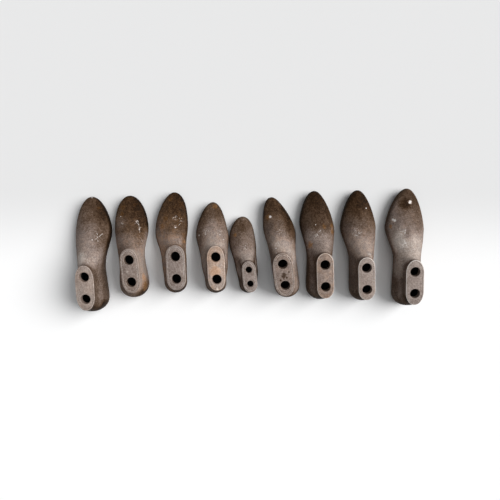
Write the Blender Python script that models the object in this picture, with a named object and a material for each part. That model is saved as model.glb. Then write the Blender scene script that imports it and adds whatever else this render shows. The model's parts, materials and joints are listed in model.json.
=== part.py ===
"""A row of nine hollow cast shoe lasts, each with a machined top plate let into its mouth.

Every last stands on its sole, with its toe towards +Y and its heel towards -Y. X runs along
the row and Z is up. The origin is on the floor, under the middle of the row.
"""

from collections import namedtuple
from math import ceil, cos, floor, pi, radians, sin, sqrt, tan

import bmesh
import bpy
from mathutils import Vector

# Sizes that all the lasts share, in metres
WALL = 0.0045              # thickness of the cast wall
LEAST_WALL = 0.003         # least thickness that the hollow leaves where the outline narrows
SOLE_WALL = 0.0075         # thickness of the cast floor above the sole
RIM = 0.0035               # width of the shell's edge that shows round the top plate
PLATE_THICKNESS = 0.012
PLATE_GAP = 0.0003         # clearance between the top plate and its pocket
LEDGE = 0.003              # width of the ledge that the top plate sits on
LEDGE_THICKNESS = 0.004
PIN_CHAMFER = 0.001        # broken edge round each pin hole
HEEL_BULGE = 0.0045        # how far the back of the heel stands out behind the sole's edge
ARCH_RISE = 0.008          # how far the sole's waist is off the floor
TOE_SPRING = 0.010         # how far the toe's lower edge is off the floor
SOLE_INSET = 0.005         # how far the sole's edge lies behind the front of the toe
TOE_SOLID = 0.014          # metal between the toe and the front of the hollow
CUT_OVERSHOOT = 0.002      # how far a cutter reaches past what it cuts

# The two patterns of jack pin, in metres
PinHoles = namedtuple("PinHoles", "bore pitch")
FULL_PINS = PinHoles(bore=0.021, pitch=0.050)
SMALL_PINS = PinHoles(bore=0.014, pitch=0.032)

# How the body changes with height: (share of the height, value) points of smooth curves
RIDGE_CURVE = ((0.14, 1.0), (0.25, 0.985), (0.325, 0.95), (0.37, 0.90), (0.46, 0.80), (0.57, 0.70),
               (0.70, 0.60), (0.84, 0.50))  # where the ridge of the instep is, as a share of the length
HEEL_CURVE = ((0.0, 0.90), (0.06, 0.96), (0.20, 1.0), (0.32, 0.995), (0.55, 0.92), (1.0, 0.70))
WAIST_CURVE = ((0.0, 0.82), (0.06, 0.90), (0.20, 0.98), (0.32, 1.0), (0.55, 0.95), (1.0, 0.70))
BALL_CURVE = ((0.0, 0.93), (0.06, 0.975), (0.14, 1.0), (0.25, 0.985), (0.37, 0.90), (0.50, 0.76),
              (0.65, 0.60), (0.80, 0.50), (1.0, 0.44))
BACK_CURVE = ((0.0, 0.0), (0.06, 0.4), (0.15, 0.8), (0.30, 1.0), (0.55, 0.6), (1.0, -0.3))

# Heights of the body's contours, as shares of the last's height
OUTER_LEVELS = (0.0, 0.05, 0.11, 0.20, 0.28, 0.35, 0.42, 0.52, 0.64, 0.76, 0.88, 1.0)
HOLLOW_LEVELS = (0.54, 0.42, 0.30, 0.19)
STATIONS = 28              # points round each contour
HOLE_STATIONS = 16         # points round each pin hole
ROW_STEP = 0.002           # spacing of the rows in which neighbours are kept apart

# One last. Sizes are in metres and angles in degrees. Sideways sizes are + towards +X.
Last = namedtuple("Last", """
    length height ball_width waist_width heel_width ball_place ball_slant toe_fullness
    toe_swing ball_swing top_swing mouth_length mouth_width mouth_setback mouth_straight
    top_tilt pins turn heel_line side_gap colour plate_colour""")

LAST_1 = Last(
    length=0.2625, height=0.084, ball_width=0.0825, waist_width=0.0565, heel_width=0.066,
    ball_place=0.1815, ball_slant=0.0035, toe_fullness=1.7, toe_swing=-0.002, ball_swing=0.0,
    top_swing=-0.0015, mouth_length=0.102, mouth_width=0.0415, mouth_setback=0.0025,
    mouth_straight=0.3, top_tilt=9, pins=FULL_PINS, turn=1.1, heel_line=-0.1375, side_gap=0.0,
    colour=(0.17, 0.12, 0.09), plate_colour=(0.27, 0.23, 0.21))
LAST_2 = Last(
    length=0.233, height=0.078, ball_width=0.078, waist_width=0.058, heel_width=0.066,
    ball_place=0.1565, ball_slant=0.001, toe_fullness=2.05, toe_swing=0.004, ball_swing=0.002,
    top_swing=0.005, mouth_length=0.0995, mouth_width=0.0405, mouth_setback=0.0085,
    mouth_straight=0.4, top_tilt=8, pins=FULL_PINS, turn=4.7, heel_line=-0.105, side_gap=0.0095,
    colour=(0.16, 0.105, 0.07), plate_colour=(0.27, 0.22, 0.20))
LAST_3 = Last(
    length=0.230, height=0.076, ball_width=0.077, waist_width=0.058, heel_width=0.0525,
    ball_place=0.1415, ball_slant=0.0105, toe_fullness=1.85, toe_swing=0.0045, ball_swing=-0.006,
    top_swing=0.0095, mouth_length=0.1005, mouth_width=0.0425, mouth_setback=0.0045,
    mouth_straight=0.5, top_tilt=4, pins=FULL_PINS, turn=2.4, heel_line=-0.0945, side_gap=0.0175,
    colour=(0.17, 0.105, 0.07), plate_colour=(0.29, 0.24, 0.22))
LAST_4 = Last(
    length=0.2075, height=0.074, ball_width=0.077, waist_width=0.062, heel_width=0.0495,
    ball_place=0.1405, ball_slant=-0.003, toe_fullness=1.35, toe_swing=0.0015, ball_swing=-0.004,
    top_swing=0.006, mouth_length=0.1005, mouth_width=0.0395, mouth_setback=0.004,
    mouth_straight=0.4, top_tilt=4, pins=FULL_PINS, turn=2.7, heel_line=-0.095, side_gap=0.0205,
    colour=(0.18, 0.135, 0.10), plate_colour=(0.34, 0.26, 0.22))
LAST_5 = Last(
    length=0.175, height=0.060, ball_width=0.0625, waist_width=0.0515, heel_width=0.0425,
    ball_place=0.117, ball_slant=-0.001, toe_fullness=2.15, toe_swing=0.002, ball_swing=-0.0035,
    top_swing=0.005, mouth_length=0.0715, mouth_width=0.032, mouth_setback=-0.001,
    mouth_straight=0.4, top_tilt=4, pins=SMALL_PINS, turn=6.2, heel_line=-0.0955, side_gap=0.001,
    colour=(0.155, 0.115, 0.09), plate_colour=(0.27, 0.22, 0.21))
LAST_6 = Last(
    length=0.232, height=0.078, ball_width=0.0745, waist_width=0.0595, heel_width=0.059,
    ball_place=0.153, ball_slant=-0.0095, toe_fullness=1.25, toe_swing=-0.010, ball_swing=0.0,
    top_swing=-0.0075, mouth_length=0.1005, mouth_width=0.0455, mouth_setback=0.002,
    mouth_straight=0.3, top_tilt=15, pins=FULL_PINS, turn=7.8, heel_line=-0.1045, side_gap=0.0235,
    colour=(0.17, 0.13, 0.10), plate_colour=(0.27, 0.23, 0.20))
LAST_7 = Last(
    length=0.2485, height=0.080, ball_width=0.0805, waist_width=0.0555, heel_width=0.0625,
    ball_place=0.1685, ball_slant=-0.011, toe_fullness=1.3, toe_swing=-0.001, ball_swing=0.002,
    top_swing=0.007, mouth_length=0.103, mouth_width=0.038, mouth_setback=0.001,
    mouth_straight=0.5, top_tilt=11, pins=FULL_PINS, turn=2.9, heel_line=-0.1095, side_gap=0.0135,
    colour=(0.14, 0.10, 0.08), plate_colour=(0.28, 0.22, 0.20))
LAST_8 = Last(
    length=0.2525, height=0.080, ball_width=0.0825, waist_width=0.053, heel_width=0.055,
    ball_place=0.1705, ball_slant=0.0005, toe_fullness=1.25, toe_swing=0.0065, ball_swing=0.0035,
    top_swing=0.0015, mouth_length=0.098, mouth_width=0.0375, mouth_setback=0.0,
    mouth_straight=0.5, top_tilt=13, pins=FULL_PINS, turn=4.0, heel_line=-0.112, side_gap=0.0175,
    colour=(0.14, 0.105, 0.085), plate_colour=(0.28, 0.23, 0.20))
LAST_9 = Last(
    length=0.267, height=0.084, ball_width=0.0895, waist_width=0.050, heel_width=0.0565,
    ball_place=0.181, ball_slant=-0.0055, toe_fullness=1.35, toe_swing=0.0195, ball_swing=0.011,
    top_swing=0.006, mouth_length=0.103, mouth_width=0.040, mouth_setback=0.0005,
    mouth_straight=0.4, top_tilt=13, pins=FULL_PINS, turn=3.3, heel_line=-0.1235, side_gap=0.027,
    colour=(0.15, 0.115, 0.09), plate_colour=(0.27, 0.23, 0.21))
LASTS = (LAST_1, LAST_2, LAST_3, LAST_4, LAST_5, LAST_6, LAST_7, LAST_8, LAST_9)

# Proportions of a contour that hold for every last
HEEL_FULLNESS = 2.2        # power of the round of the heel
WAIST_SHARE = 0.40         # where the waist is, as a share of the length
TAPER = 2.0                # least length of a contour's front, in half widths
ROUND_FULLNESS = 2.0       # power of the front of the contours high on the instep
ARCH_START = 0.02          # where the arch leaves the heel, as a share of the length
ARCH_POWER = 1.2
SPRING_POWER = 1.8
MOUTH_ROUND = 2.1          # power of the round ends of the mouth, past its straight sides
MOUTH_BLEND = 0.5          # share of the height where the body starts to turn into the mouth
TILT_POWER = 4             # how fast the contours take up the tilt of the mouth
RISE_POWER = 1.5           # how fast the contours lose the rise of the sole
SWING_START = (0.3, 0.15)  # shares of the length and of the ball's swing where the sole starts to swing
TOE_ROUNDING = (0.2, 0.6)  # shares of the height between which the toe turns into a plain round

# Finish of the metal
SMOOTH_ANGLE = 35          # degrees up to which neighbouring faces are shaded as one surface
CAST_ROUGHNESS = 0.55
MACHINED_ROUGHNESS = 0.4


def ease(low, high, value):
    """Rise smoothly from 0 at low to 1 at high."""
    share = min(1.0, max(0.0, (value - low) / (high - low)))
    return share * share * (3.0 - 2.0 * share)


def read_curve(points, place):
    """Read the smooth curve through (place, value) points. It never overshoots its points."""
    if place <= points[0][0]:
        return points[0][1]
    if place >= points[-1][0]:
        return points[-1][1]
    spans = list(zip(points, points[1:]))
    slopes = [(high[1] - low[1]) / (high[0] - low[0]) for low, high in spans]
    tangents = [slopes[0]]
    for before, after in zip(slopes, slopes[1:]):
        tangents.append(2 * before * after / (before + after) if before * after > 0 else 0.0)
    tangents.append(slopes[-1])
    index = next(number for number, (_, high) in enumerate(spans) if place <= high[0])
    (start, low), (end, high) = spans[index]
    width = end - start
    t = (place - start) / width
    value = low * (2 * t**3 - 3 * t**2 + 1) + high * (3 * t**2 - 2 * t**3)
    return value + width * (tangents[index] * (t**3 - 2 * t**2 + t) + tangents[index + 1] * (t**3 - t**2))


def power_round(share, power):
    """Half width of a rounded end, from 1 where it starts to 0 at its tip."""
    return sqrt(max(0.0, 1.0 - max(0.0, share) ** power))


def mouth_middle(last):
    """How far in front of the heel the middle of the mouth is."""
    return last.mouth_setback + last.mouth_length / 2 * cos(radians(last.top_tilt))


def mouth_outline(last, turn, inset):
    """A point of the mouth's outline in its own plane, drawn in by inset: (across, along)."""
    side = 1.0 if sin(turn) >= 0 else -1.0
    half_length = last.mouth_length / 2 - inset
    straight = last.mouth_straight * half_length
    along = half_length * cos(turn)
    past = max(0.0, abs(along) - straight) / (half_length - straight)
    rounding = max(0.0, 1.0 - past**MOUTH_ROUND) ** (1.0 / MOUTH_ROUND)
    return side * (last.mouth_width / 2 - inset) * rounding, along


def mouth_point(last, turn, inset, depth):
    """A point of the mouth's outline on the last, sunk by depth square to the tilted mouth."""
    tilt = radians(last.top_tilt)
    across, along = mouth_outline(last, turn, inset)
    return Vector((last.top_swing + across,
                   mouth_middle(last) + along * cos(tilt) + depth * sin(tilt),
                   last.height + along * sin(tilt) - depth * cos(tilt)))


def sole_rise(last, along):
    """Height of the sole above the floor: the arch of the waist and the spring of the toe."""
    share = along / last.length
    ball = last.ball_place / last.length
    if share > ball:
        return TOE_SPRING * ((share - ball) / (1.0 - ball)) ** SPRING_POWER
    arch = max(0.0, (share - ARCH_START) / (ball - ARCH_START))
    return ARCH_RISE * sin(pi * arch) ** ARCH_POWER


def centre_line(last, along):
    """How far the middle of the sole swings to the side."""
    points = ((0.0, 0.0), (SWING_START[0] * last.length, SWING_START[1] * last.ball_swing),
              (last.ball_place, last.ball_swing), (last.length, last.toe_swing))
    return read_curve(points, along)


def front_of(last, level):
    """How far in front of the heel a contour reaches: the toe, then the ridge of the instep."""
    mouth_front = mouth_middle(last) + last.mouth_length / 2 * cos(radians(last.top_tilt))
    ridge = tuple((height, share * last.length) for height, share in RIDGE_CURVE)
    front = read_curve(ridge + ((1.0, mouth_front),), level)
    return front - SOLE_INSET * (1.0 - ease(0.0, OUTER_LEVELS[2], level))


def half_width(last, level, along, side, rear, front, inset):
    """Half width of a contour at one place along it: heel round, waist, ball and toe."""
    heel = last.heel_width / 2 * read_curve(HEEL_CURVE, level) - inset
    waist = last.waist_width / 2 * read_curve(WAIST_CURVE, level) - inset
    ball = last.ball_width / 2 * read_curve(BALL_CURVE, level) - inset
    heel_place = rear + heel
    ball_place = min(last.ball_place, front - TAPER * ball) + side * last.ball_slant * (1.0 - level)
    waist_place = min(WAIST_SHARE * last.length, (heel_place + ball_place) / 2)
    if along <= heel_place:
        return heel * power_round((heel_place - along) / heel, HEEL_FULLNESS)
    if along <= waist_place:
        return heel + (waist - heel) * ease(heel_place, waist_place, along)
    if along <= ball_place:
        return waist + (ball - waist) * ease(waist_place, ball_place, along)
    toe = last.toe_fullness + (ROUND_FULLNESS - last.toe_fullness) * ease(*TOE_ROUNDING, level)
    return ball * power_round((along - ball_place) / (front - ball_place), toe)


def contour(last, level, front, inset=0.0):
    """A closed ring of points round the body, at a share of its height, drawn in by inset."""
    rear = inset - HEEL_BULGE * read_curve(BACK_CURVE, level)
    blend = ease(MOUTH_BLEND, 1.0, level)
    tilt = tan(radians(last.top_tilt)) * level**TILT_POWER
    ring = []
    for station in range(STATIONS):
        turn = 2 * pi * station / STATIONS
        side = 1.0 if sin(turn) >= 0 else -1.0
        along = rear + (front - rear) * (0.5 + 0.5 * cos(turn))
        width = half_width(last, level, along, side, rear, front, inset)
        if inset:
            outside = half_width(last, level, along, side, rear - inset, front_of(last, level), 0.0)
            width = min(width, outside - LEAST_WALL)
        across = side * width
        across += centre_line(last, along) * (1.0 - level**2) + last.top_swing * level**2
        mouth = mouth_point(last, turn, inset, 0.0)
        across += (mouth.x - across) * blend
        along += (mouth.y - along) * blend
        height = last.height * level + sole_rise(last, along) * (1.0 - level) ** RISE_POWER
        ring.append(Vector((across, along, height + tilt * (along - mouth_middle(last)))))
    return ring


def mouth_ring(last, inset, depth):
    """The mouth's outline as a closed ring of points."""
    turns = (2 * pi * station / STATIONS for station in range(STATIONS))
    return [mouth_point(last, turn, inset, depth) for turn in turns]


def shell_rings(last):
    """All rings of a shell, from its sole up the outside, over the rim and down the inside."""
    rings = [contour(last, level, front_of(last, level)) for level in OUTER_LEVELS[:-1]]
    rings.append(mouth_ring(last, 0.0, 0.0))
    rings.append(mouth_ring(last, RIM, 0.0))
    seat = PLATE_THICKNESS + PLATE_GAP
    rings.append(mouth_ring(last, RIM, seat))
    rings.append(mouth_ring(last, RIM + LEDGE, seat))
    rings.append(mouth_ring(last, RIM + LEDGE, seat + LEDGE_THICKNESS))
    for level in HOLLOW_LEVELS + (SOLE_WALL / last.height,):
        front = front_of(last, level + WALL / last.height) - TOE_SOLID
        rings.append(contour(last, level, front, WALL))
    return rings


def close_ring(bm, ring):
    """Fill a ring with strips that run from one side to the other."""
    edges = [bm.edges.get(pair) for pair in zip(ring, ring[1:] + ring[:1])]
    bmesh.ops.contextual_create(bm, geom=edges)
    for number in range(1, len(ring) // 2):
        bmesh.ops.connect_verts(bm, verts=[ring[number], ring[-number]])


def skin(name, rings):
    """A closed mesh through rings with equally many points, filled at both ends."""
    bm = bmesh.new()
    station = bm.verts.layers.int.new("station")
    verts = bmesh.ops.create_circle(bm, segments=len(rings[0]), radius=1.0)["verts"]
    for number, vert in enumerate(verts):
        vert[station] = number
        vert.co = rings[0][number]
    edges = bm.edges[:]
    close_ring(bm, verts)
    for ring in rings[1:]:
        made = bmesh.ops.extrude_edge_only(bm, edges=edges)["geom"]
        edges = [item for item in made if isinstance(item, bmesh.types.BMEdge)
                 and not any(end in verts for end in item.verts)]
        verts = sorted((item for item in made if isinstance(item, bmesh.types.BMVert)),
                       key=lambda vert: vert[station])
        for vert in verts:
            vert.co = ring[vert[station]]
    close_ring(bm, verts)
    bm.verts.layers.int.remove(station)
    bmesh.ops.recalc_face_normals(bm, faces=bm.faces)
    mesh = bpy.data.meshes.new(name)
    bm.to_mesh(mesh)
    bm.free()
    return mesh


def plate_rings(last):
    """The top plate's outline on its lower and its upper face, in the plate's own frame."""
    turns = [2 * pi * station / STATIONS for station in range(STATIONS)]
    outline = [mouth_outline(last, turn, RIM + PLATE_GAP) for turn in turns]
    return [[Vector((across, along, height)) for across, along in outline]
            for height in (-PLATE_THICKNESS, 0.0)]


def pin_cutter_rings(bore):
    """A drill with a countersink: circles from under the plate to above it."""
    profile = ((bore / 2, -PLATE_THICKNESS - CUT_OVERSHOOT), (bore / 2, -PIN_CHAMFER),
               (bore / 2 + PIN_CHAMFER + CUT_OVERSHOOT, CUT_OVERSHOOT))
    turns = [2 * pi * station / HOLE_STATIONS for station in range(HOLE_STATIONS)]
    return [[Vector((radius * cos(turn), radius * sin(turn), height)) for turn in turns]
            for radius, height in profile]


def metal(name, colour, roughness):
    """A bare metal finish for one piece."""
    material = bpy.data.materials.new(name)
    material.use_nodes = True
    shader = material.node_tree.nodes["Principled BSDF"]
    shader.inputs["Base Color"].default_value = (*colour, 1.0)
    shader.inputs["Roughness"].default_value = roughness
    shader.inputs["Metallic"].default_value = 1.0
    return material


def add_piece(name, mesh, parent, location=(0.0, 0.0, 0.0)):
    """Link a mesh into the scene under its last."""
    piece = bpy.data.objects.new(name, mesh)
    bpy.context.collection.objects.link(piece)
    piece.parent = parent
    piece.location = location
    return piece


def add_shell(last, name, parent):
    """The hollow casting, with the pocket for the top plate in its mouth."""
    mesh = skin(name, shell_rings(last))
    mesh.shade_smooth()
    mesh.set_sharp_from_angle(angle=radians(SMOOTH_ANGLE))
    mesh.materials.append(metal(name + "_iron", last.colour, CAST_ROUGHNESS))
    return add_piece(name, mesh, parent)


def add_top_plate(last, name, parent, cutters):
    """The machined plate that closes the mouth, drilled for the two jack pins."""
    plate = add_piece(name, skin(name, plate_rings(last)), parent,
                      (last.top_swing, mouth_middle(last), last.height))
    plate.rotation_euler.x = radians(last.top_tilt)
    plate.data.materials.append(metal(name + "_iron", last.plate_colour, MACHINED_ROUGHNESS))
    for place in (-last.pins.pitch / 2, last.pins.pitch / 2):
        cutter = add_piece(name + "_drill", cutters[last.pins], plate, (0.0, place, 0.0))
        cutter.hide_render = True
        cutter.display_type = "WIRE"
        cut = plate.modifiers.new("pin_hole", "BOOLEAN")
        cut.operation = "DIFFERENCE"
        cut.object = cutter
    return plate


def side_reach(last):
    """Where the outline of a turned last lies, row by row: {row: (least x, greatest x)}."""
    turn = radians(last.turn)
    reach = {}
    for level in OUTER_LEVELS:
        ring = contour(last, level, front_of(last, level))
        turned = [Vector((point.x * cos(turn) - point.y * sin(turn),
                          last.heel_line + point.x * sin(turn) + point.y * cos(turn)))
                  for point in ring]
        for start, end in zip(turned, turned[1:] + turned[:1]):
            low, high = sorted((start.y, end.y))
            for row in range(ceil(low / ROW_STEP), floor(high / ROW_STEP) + 1):
                share = (row * ROW_STEP - start.y) / (end.y - start.y)
                x = start.x + share * (end.x - start.x)
                least, greatest = reach.get(row, (x, x))
                reach[row] = (min(least, x), max(greatest, x))
    return reach


def row_places():
    """Where the heel of each last is along the row, so that neighbours keep their gaps."""
    places = [0.0]
    left = side_reach(LASTS[0])
    for last in LASTS[1:]:
        right = side_reach(last)
        shared = left.keys() & right.keys()
        step = max(left[row][1] - right[row][0] for row in shared) + last.side_gap
        places.append(places[-1] + step)
        left = right
    return places


def centre_on_floor(carriers):
    """Move the row so that the middle of its bounding box is over the origin."""
    bpy.context.view_layer.update()
    points = [piece.matrix_world @ vert.co for carrier in carriers
              for piece in carrier.children for vert in piece.data.vertices]
    for axis in (0, 1):
        middle = (min(point[axis] for point in points) + max(point[axis] for point in points)) / 2
        for carrier in carriers:
            carrier.location[axis] -= middle


def build_row():
    """Build every last on its own carrier, which stands at the heel on the floor."""
    for item in list(bpy.data.objects):
        bpy.data.objects.remove(item, do_unlink=True)
    cutters = {pins: skin("drill", pin_cutter_rings(pins.bore)) for pins in (FULL_PINS, SMALL_PINS)}
    carriers = []
    for number, (last, place) in enumerate(zip(LASTS, row_places()), start=1):
        carrier = bpy.data.objects.new(f"last_{number}", None)
        bpy.context.collection.objects.link(carrier)
        carrier.location = (place, last.heel_line, 0.0)
        carrier.rotation_euler.z = radians(last.turn)
        add_shell(last, f"last_{number}_shell", carrier)
        add_top_plate(last, f"last_{number}_top_plate", carrier, cutters)
        carriers.append(carrier)
    centre_on_floor(carriers)


build_row()
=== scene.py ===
# %% [markdown]
# # Nine shoe lasts
# A last is the form that a shoe is pulled over. These nine stand in a row: each is a hollow metal
# casting with a flat machined plate let into its top, and two holes in the plate fit the pins of
# the cobbler's jack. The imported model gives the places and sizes. This lesson builds the fine
# surface round it, and shows how a form with no straight line on it can be lofted through rings.

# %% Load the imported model
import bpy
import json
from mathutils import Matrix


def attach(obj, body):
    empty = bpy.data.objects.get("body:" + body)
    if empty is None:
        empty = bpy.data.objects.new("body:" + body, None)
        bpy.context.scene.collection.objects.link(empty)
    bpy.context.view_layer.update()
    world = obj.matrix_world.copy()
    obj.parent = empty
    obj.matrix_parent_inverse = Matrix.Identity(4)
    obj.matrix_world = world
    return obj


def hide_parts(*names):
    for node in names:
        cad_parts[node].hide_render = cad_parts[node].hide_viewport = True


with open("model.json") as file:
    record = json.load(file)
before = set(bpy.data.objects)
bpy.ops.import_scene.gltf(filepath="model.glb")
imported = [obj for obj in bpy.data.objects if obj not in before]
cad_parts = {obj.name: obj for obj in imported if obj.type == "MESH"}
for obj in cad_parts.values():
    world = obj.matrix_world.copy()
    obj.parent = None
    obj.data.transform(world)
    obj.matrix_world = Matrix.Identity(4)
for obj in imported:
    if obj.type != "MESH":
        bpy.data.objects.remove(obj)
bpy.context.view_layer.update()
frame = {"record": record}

# %% [markdown]
# ## The modules
# bmesh holds the operators that build a mesh, and mathutils the vectors and turns. The other
# modules are plain Python. A named tuple lets each size of a last be read by its name.

# %% The modules that the lesson uses
import json
from collections import namedtuple
from math import acos, atan2, cos, degrees, pi, radians, sin, sqrt, tan

import bmesh
import bpy
from mathutils import Matrix, Vector

# %% [markdown]
# ## Where each last stands
# One way to place a last would be to type its position again. The record already holds a point in
# the middle of each top plate and the way that the plate faces. A plate leans back towards the
# heel, so the direction gives both the lean and how far the last is turned on the floor.

# %% Read the places
Stand = namedtuple("Stand", "middle tilt turn height")
stands = {}
for mount in frame["record"]["mounts"]:
    across, along, up = mount["axis"]
    number = int(mount["name"].split("_")[1])
    middle = Vector(mount["pos_m"])
    stands[number] = Stand(middle, acos(up), atan2(across, -along), middle.z * 1000)
for number, stand in stands.items():
    print(f"last {number}: {stand.height:.0f} mm tall, leans {degrees(stand.tilt):.0f} degrees")

# %% [markdown]
# ## The sizes of a last
# A lastmaker describes a last by its stick length and by its width at three places: the heel, the
# waist under the arch, and the ball. The toe swings towards the big toe, and the top swings a
# little as well. The numbers are in millimetres, because that is how lasts are measured, and the
# whole form is brought to metres in one step when it is set down in the row.

# %% The nine sizes
Last = namedtuple("Last", "length ball waist heel ball_at slant toe_power toe_swing ball_swing "
                          "top_swing mouth_long mouth_wide setback straight bore pitch")
ROW = {
    1: Last(262.5, 82.5, 56.5, 66.0, 181.5, 3.5, 1.7, -2.0, 0.0, -1.5, 102.0, 41.5, 2.5, 0.3, 21, 50),
    2: Last(233.0, 78.0, 58.0, 66.0, 156.5, 1.0, 2.05, 4.0, 2.0, 5.0, 99.5, 40.5, 8.5, 0.4, 21, 50),
    3: Last(230.0, 77.0, 58.0, 52.5, 141.5, 10.5, 1.85, 4.5, -6.0, 9.5, 100.5, 42.5, 4.5, 0.5, 21, 50),
    4: Last(207.5, 77.0, 62.0, 49.5, 140.5, -3.0, 1.35, 1.5, -4.0, 6.0, 100.5, 39.5, 4.0, 0.4, 21, 50),
    5: Last(175.0, 62.5, 51.5, 42.5, 117.0, -1.0, 2.15, 2.0, -3.5, 5.0, 71.5, 32.0, -1.0, 0.4, 14, 32),
    6: Last(232.0, 74.5, 59.5, 59.0, 153.0, -9.5, 1.25, -10.0, 0.0, -7.5, 100.5, 45.5, 2.0, 0.3, 21, 50),
    7: Last(248.5, 80.5, 55.5, 62.5, 168.5, -11.0, 1.3, -1.0, 2.0, 7.0, 103.0, 38.0, 1.0, 0.5, 21, 50),
    8: Last(252.5, 82.5, 53.0, 55.0, 170.5, 0.5, 1.25, 6.5, 3.5, 1.5, 98.0, 37.5, 0.0, 0.5, 21, 50),
    9: Last(267.0, 89.5, 50.0, 56.5, 181.0, -5.5, 1.35, 19.5, 11.0, 6.0, 103.0, 40.0, 0.5, 0.4, 21, 50),
}
print("lengths in mm:", [last.length for last in ROW.values()])

# %% [markdown]
# ## Smooth steps
# Where one width passes into the next, a straight ramp would leave a crease. An eased step starts
# and ends level, and a rounded end is drawn with a power that makes it fuller or more pointed.

# %% Smooth steps and rounded ends
def ease(low, high, value):
    """Rise smoothly from 0 at low to 1 at high."""
    share = min(1.0, max(0.0, (value - low) / (high - low)))
    return share * share * (3.0 - 2.0 * share)


def power_round(share, power):
    """Half width of a rounded end, from 1 where it starts to 0 at its tip."""
    return sqrt(max(0.0, 1.0 - max(0.0, share) ** power))


print("half width of a rounded end at its middle:", round(power_round(0.5, 2.2), 2))

# %% [markdown]
# ## Curves that never overshoot
# The instep falls from the mouth to the toe in a long hollow curve. A Bezier curve through a few
# points could bulge between them, so this one limits its slope at each point, and the body never
# gets a bump that nobody asked for.

# %% A curve through points
def read_curve(points, place):
    """Read the smooth curve through (place, value) points."""
    if place <= points[0][0]:
        return points[0][1]
    if place >= points[-1][0]:
        return points[-1][1]
    spans = list(zip(points, points[1:]))
    slopes = [(high[1] - low[1]) / (high[0] - low[0]) for low, high in spans]
    tangents = [slopes[0]]
    for before, after in zip(slopes, slopes[1:]):
        tangents.append(2 * before * after / (before + after) if before * after > 0 else 0.0)
    tangents.append(slopes[-1])
    index = next(number for number, (_, high) in enumerate(spans) if place <= high[0])
    (start, low), (end, high) = spans[index]
    width = end - start
    t = (place - start) / width
    value = low * (2 * t**3 - 3 * t**2 + 1) + high * (3 * t**2 - 2 * t**3)
    bend = tangents[index] * (t**3 - 2 * t**2 + t) + tangents[index + 1] * (t**3 - t**2)
    return value + width * bend


print("a curve through 0, 1 and 0, read at 0.25:", read_curve(((0.0, 0.0), (0.5, 1.0), (1.0, 0.0)), 0.25))

# %% [markdown]
# ## The mouth
# The top of the casting is cut flat and leans back. Its outline has nearly straight sides and
# round ends. A straight box with two half circles would show a corner where they meet, so the
# rounding starts softly past the straight share. The same outline, drawn in a little, serves for
# the rim, the pocket, the ledge that the plate sits on, and the plate itself.

# %% Points of the mouth
STATIONS = 96       # points round each ring
RIM = 3.5           # width of the shell's edge round the plate
PLATE = 12.0        # thickness of the plate
GAP = 0.3           # clearance between the plate and its pocket
MOUTH_POWER = 2.1   # how full the round ends of the mouth are
TURNS = [2 * pi * station / STATIONS for station in range(STATIONS)]


def mouth_outline(last, turn, inset):
    """A point of the mouth's outline in its own plane, drawn in by inset: (across, along)."""
    side = 1.0 if sin(turn) >= 0 else -1.0
    half = last.mouth_long / 2 - inset
    straight = last.straight * half
    past = max(0.0, abs(half * cos(turn)) - straight) / (half - straight)
    share = max(0.0, 1.0 - past**MOUTH_POWER) ** (1.0 / MOUTH_POWER)
    return side * (last.mouth_wide / 2 - inset) * share, half * cos(turn)


def mouth_middle(last, tilt):
    """How far in front of the heel the middle of the mouth is."""
    return last.setback + last.mouth_long / 2 * cos(tilt)


def mouth_ring(last, stand, inset, depth):
    """The mouth's outline on the last, sunk by depth square to the leaning mouth."""
    level, slope = cos(stand.tilt), sin(stand.tilt)
    ring = []
    for turn in TURNS:
        across, along = mouth_outline(last, turn, inset)
        ring.append(Vector((last.top_swing + across,
                            mouth_middle(last, stand.tilt) + along * level + depth * slope,
                            stand.height + along * slope - depth * level)))
    return ring


print("mouth of last 1 measures", len(mouth_ring(ROW[1], stands[1], 0.0, 0.0)), "points round")

# %% [markdown]
# ## The body, level by level
# Cut a last level with the floor and the cut shows a foot's outline: a round heel, a waist, the
# ball and the toe. Higher cuts get shorter, because the instep's ridge comes back towards the
# mouth. So the body is a stack of such outlines. Sculpting it would be quicker, but the nine
# lasts share one rule here, and each differs only in its sizes. Each table holds pairs of a share
# of the height and a share of the full size.

# %% How the outlines change with height
RIDGE = ((0.14, 1.0), (0.25, 0.985), (0.325, 0.95), (0.37, 0.90), (0.46, 0.80), (0.57, 0.70),
         (0.70, 0.60), (0.84, 0.50))
HEEL = ((0.0, 0.90), (0.06, 0.96), (0.20, 1.0), (0.32, 0.995), (0.55, 0.92), (1.0, 0.70))
WAIST = ((0.0, 0.82), (0.06, 0.90), (0.20, 0.98), (0.32, 1.0), (0.55, 0.95), (1.0, 0.70))
BALL = ((0.0, 0.93), (0.06, 0.975), (0.14, 1.0), (0.25, 0.985), (0.37, 0.90), (0.50, 0.76),
        (0.65, 0.60), (0.80, 0.50), (1.0, 0.44))
BACK = ((0.0, 0.0), (0.06, 0.4), (0.15, 0.8), (0.30, 1.0), (0.55, 0.6), (1.0, -0.3))
print("a last is widest at", max(HEEL, key=lambda point: point[1])[0], "of its height")

# %% [markdown]
# ## The sole and the ridge
# A last doesn't stand flat. The sole is hollowed under the arch, and the toe springs up so that
# the shoe can roll. Higher up, the front of each level follows the ridge of the instep back to the
# mouth, and close to the floor the toe is drawn in to a round edge.

# %% The two lines seen from the side
ARCH = 8.0          # rise of the sole under the waist
TOE_SPRING = 10.0   # rise of the sole at the tip of the toe
DRAWN_IN = 5.0      # how far the toe draws back at the sole


def sole_rise(last, along):
    """Height of the sole above the floor: the arch of the waist and the spring of the toe."""
    share, ball = along / last.length, last.ball_at / last.length
    if share > ball:
        return TOE_SPRING * ((share - ball) / (1.0 - ball)) ** 1.8
    return ARCH * sin(pi * max(0.0, (share - 0.02) / (ball - 0.02))) ** 1.2


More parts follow.
